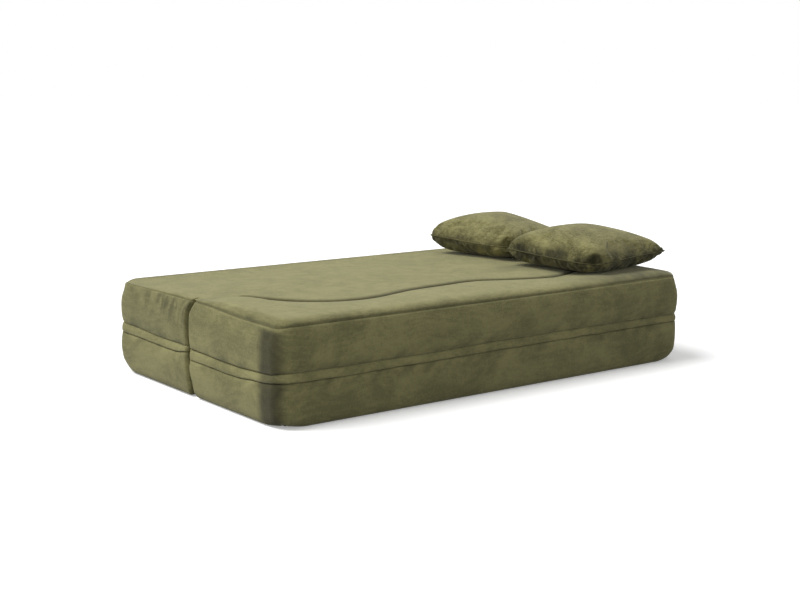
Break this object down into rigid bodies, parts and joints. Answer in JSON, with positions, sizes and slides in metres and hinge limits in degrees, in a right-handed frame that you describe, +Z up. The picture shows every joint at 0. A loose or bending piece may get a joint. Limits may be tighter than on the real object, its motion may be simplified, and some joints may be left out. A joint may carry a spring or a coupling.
{
  "type": "sofa bed",
  "caption": "Foam sofa bed opened flat: two plush-covered blocks on a cloth hinge, with a wavy pulled seam, zip bands round the sides and two loose pillows.",
  "frame": {"origin": "on the floor, under the middle of the opened bed", "axes": "+X along the bed towards the pillows, +Y from the seat block across the parting gap to the folding back block, +Z up"},
  "size_m": [1.902, 1.065, 0.5213],
  "materials": {
    "plush": "matte",
    "pillow_plush": "matte",
    "foam_firm": "matte",
    "foam_soft": "matte",
    "fibre_fill": "matte",
    "base_cloth": "matte",
    "zip_tape": "matte",
    "zip_teeth": "satin",
    "zip_metal": "satin"
  },
  "bodies": {
    "seat": {"seat_upper_cover": "plush", "seat_lower_cover": "plush", "seat_zip_flap": "plush", "seat_base_foam": "foam_firm", "seat_comfort_foam": "foam_soft", "seat_base_cloth": "base_cloth", "seat_zip_tape": "zip_tape", "seat_zip_chain": "zip_teeth", "hinge_cloth": "plush"},
    "back": {"back_upper_cover": "plush", "back_lower_cover": "plush", "back_zip_flap": "plush", "back_base_foam": "foam_firm", "back_comfort_foam": "foam_soft", "back_base_cloth": "base_cloth", "back_zip_tape": "zip_tape", "back_zip_chain": "zip_teeth"},
    "near_pillow": {"pillow_near_cover": "pillow_plush", "pillow_near_fill": "fibre_fill", "pillow_near_zip": "zip_tape"},
    "far_pillow": {"pillow_far_cover": "pillow_plush", "pillow_far_fill": "fibre_fill", "pillow_far_zip": "zip_tape"},
    "seat_slider": {"seat_zip_slider": "zip_metal"},
    "back_slider": {"back_zip_slider": "zip_metal"}
  },
  "joints": [
    {"name": "back_fold", "type": "hinge", "parent": "seat", "child": "back", "pos_m": [0, 0, 0.342], "axis": [1, 0, 0], "range_deg": [0, 90], "deforming": ["hinge_cloth"]},
    {"name": "near_pillow_push", "type": "slide", "parent": "seat", "child": "near_pillow", "axis": [0, -1, 0], "range_m": [0, 0.16]},
    {"name": "far_pillow_slide", "type": "slide", "parent": "back", "child": "far_pillow", "axis": [1, 0, 0], "range_m": [-1.3, 0.5]},
    {"name": "seat_zip_slide", "type": "slide", "parent": "seat", "child": "seat_slider", "axis": [1, 0, 0], "range_m": [0, 1.5]},
    {"name": "back_zip_slide", "type": "slide", "parent": "back", "child": "back_slider", "axis": [1, 0, 0], "range_m": [0, 1.5]}
  ],
  "couplings": [
    {"joint": "near_pillow_push", "follows": "back_fold", "m_per_rad": 0.1}
  ]
}
